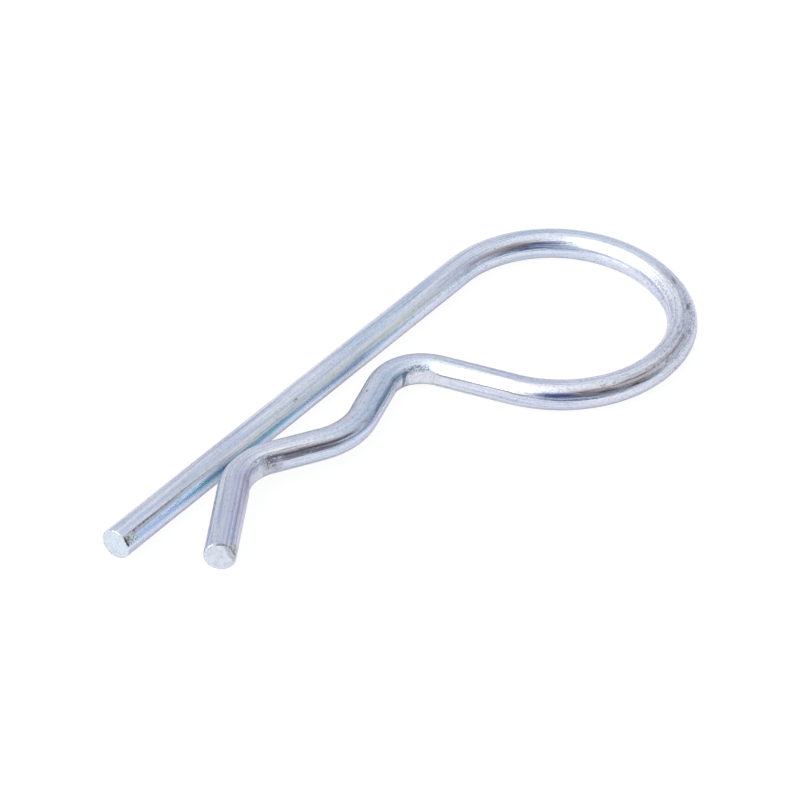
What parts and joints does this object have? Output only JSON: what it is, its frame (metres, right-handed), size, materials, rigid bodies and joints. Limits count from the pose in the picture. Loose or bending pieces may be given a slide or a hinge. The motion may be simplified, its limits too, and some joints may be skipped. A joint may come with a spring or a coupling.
{
  "type": "hitch r-clip",
  "caption": "Spring wire R-clip with a straight leg, an open round loop and a waved leg that grips a cross-drilled shaft.",
  "frame": {"origin": "on the axis of the straight leg, at the middle of the belly, where the axis of the gripped shaft crosses it", "axes": "+X along the straight leg towards the loop, the waved leg on the -Y side, +Z square to the clip and up as it lies"},
  "size_m": [0.0856, 0.0355, 0.0062],
  "materials": {
    "zinc_wire": "bright zinc plate, faintly blue and slightly streaked along the drawn wire"
  },
  "bodies": {
    "root": {"clip": "zinc_wire"}
  },
  "joints": []
}
